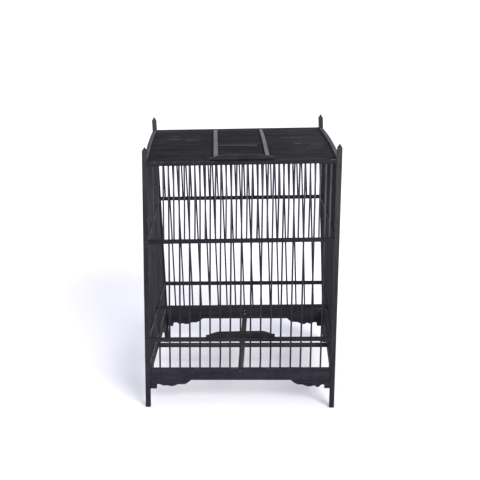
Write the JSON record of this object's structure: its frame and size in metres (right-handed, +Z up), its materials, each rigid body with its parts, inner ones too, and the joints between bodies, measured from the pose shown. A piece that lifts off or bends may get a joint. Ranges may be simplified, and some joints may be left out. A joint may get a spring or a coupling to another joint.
{
  "type": "bird cage",
  "caption": "Square bird cage of dark-stained bamboo and wood: pointed corner posts, thin round bars in rails and skirt boards, a low arched bar roof and a front door of bars that slides up.",
  "frame": {"origin": "on the floor, midway between the four feet", "axes": "+Z up; -Y out of the front wall, which has the lifting door; +X to the right as seen from the front"},
  "size_m": [0.3096, 0.3096, 0.4214],
  "materials": {
    "stained_wood": "charcoal stain, satin",
    "stained_bamboo": "charcoal stain on split bamboo, satin",
    "pale_bamboo": "worn grey stain on bamboo strip, satin",
    "brad_steel": "dull bare steel"
  },
  "bodies": {
    "cage": {"post_front_left": "stained_wood", "post_front_right": "stained_wood", "post_back_left": "stained_wood", "post_back_right": "stained_wood", "top_rail_front": "stained_wood", "top_rail_back": "stained_wood", "roof_grille": "stained_bamboo", "roof_batten_left": "pale_bamboo", "roof_batten_right": "pale_bamboo", "hanger_board": "stained_wood", "upper_rail_front": "stained_wood", "grille_left": "stained_bamboo", "grille_right": "stained_bamboo", "grille_back": "stained_bamboo", "lower_rail_front": "stained_wood", "lower_rail_back": "stained_wood", "lower_rail_left": "stained_wood", "lower_rail_right": "stained_wood", "skirt_front": "stained_wood", "skirt_back": "stained_wood", "skirt_left": "stained_wood", "skirt_right": "stained_wood", "bracket_front_left": "stained_wood", "bracket_front_right": "stained_wood", "bracket_back_left": "stained_wood", "bracket_back_right": "stained_wood", "bracket_left_front": "stained_wood", "bracket_left_back": "stained_wood", "bracket_right_front": "stained_wood", "bracket_right_back": "stained_wood", "floor_beam_cross": "stained_wood", "floor_beam_long": "stained_wood", "perch": "stained_bamboo", "front_bar_01": "stained_bamboo", "front_bar_02": "stained_bamboo", "front_bar_03": "stained_bamboo", "front_bar_04": "stained_bamboo", "front_bar_05": "stained_bamboo", "front_bar_06": "stained_bamboo", "front_bar_07": "stained_bamboo", "front_bar_08": "stained_bamboo", "front_bar_09": "stained_bamboo", "front_bar_10": "stained_bamboo", "brad_left_lower": "brad_steel", "brad_left_upper": "brad_steel", "brad_right_lower": "brad_steel", "brad_right_upper": "brad_steel", "brad_skirt_front": "brad_steel", "brad_skirt_back_upper": "brad_steel", "brad_skirt_back_lower": "brad_steel"},
    "door": {"door_foot": "stained_wood", "door_head": "stained_wood", "door_bar_1": "stained_bamboo", "door_bar_2": "stained_bamboo", "door_bar_3": "stained_bamboo", "door_bar_4": "stained_bamboo", "door_bar_5": "stained_bamboo", "door_bar_6": "stained_bamboo", "door_bar_7": "stained_bamboo"}
  },
  "joints": [
    {"name": "door_slide", "type": "slide", "parent": "cage", "child": "door", "axis": [0.0227, 0, 0.9997], "range_m": [0, 0.1444]}
  ]
}
